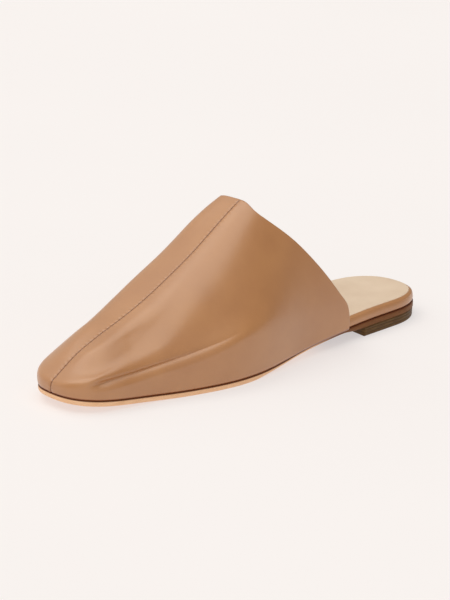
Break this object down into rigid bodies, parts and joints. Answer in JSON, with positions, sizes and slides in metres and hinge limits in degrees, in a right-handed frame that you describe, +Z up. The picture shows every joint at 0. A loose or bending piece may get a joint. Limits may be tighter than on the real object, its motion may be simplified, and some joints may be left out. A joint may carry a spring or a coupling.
{
  "type": "mule shoe",
  "caption": "Flat slip-on leather mule for the left foot: high hollow vamp with a centre seam, open back, padded footbed with a wrapped edge, leather sole and low stacked heel.",
  "frame": {"origin": "centre of the bounding box on the floor under the sole", "axes": "+Y from the toe to the back of the heel, +X to the outer side of the left foot, +Z up"},
  "size_m": [0.0817, 0.256, 0.0871],
  "materials": {
    "upper_leather": "smooth camel calf leather, soft sheen",
    "sock_leather": "matt cream lining leather",
    "footbed_board": "plain padded leatherboard, hidden",
    "sole_leather": "natural tan sole leather, satin edge",
    "heel_leather": "dark stained stacked leather, satin edge"
  },
  "bodies": {
    "root": {"upper": "upper_leather", "rim_wrap": "upper_leather", "sock_lining": "sock_leather", "insole_board": "footbed_board", "outsole": "sole_leather", "heel": "heel_leather"}
  },
  "joints": []
}
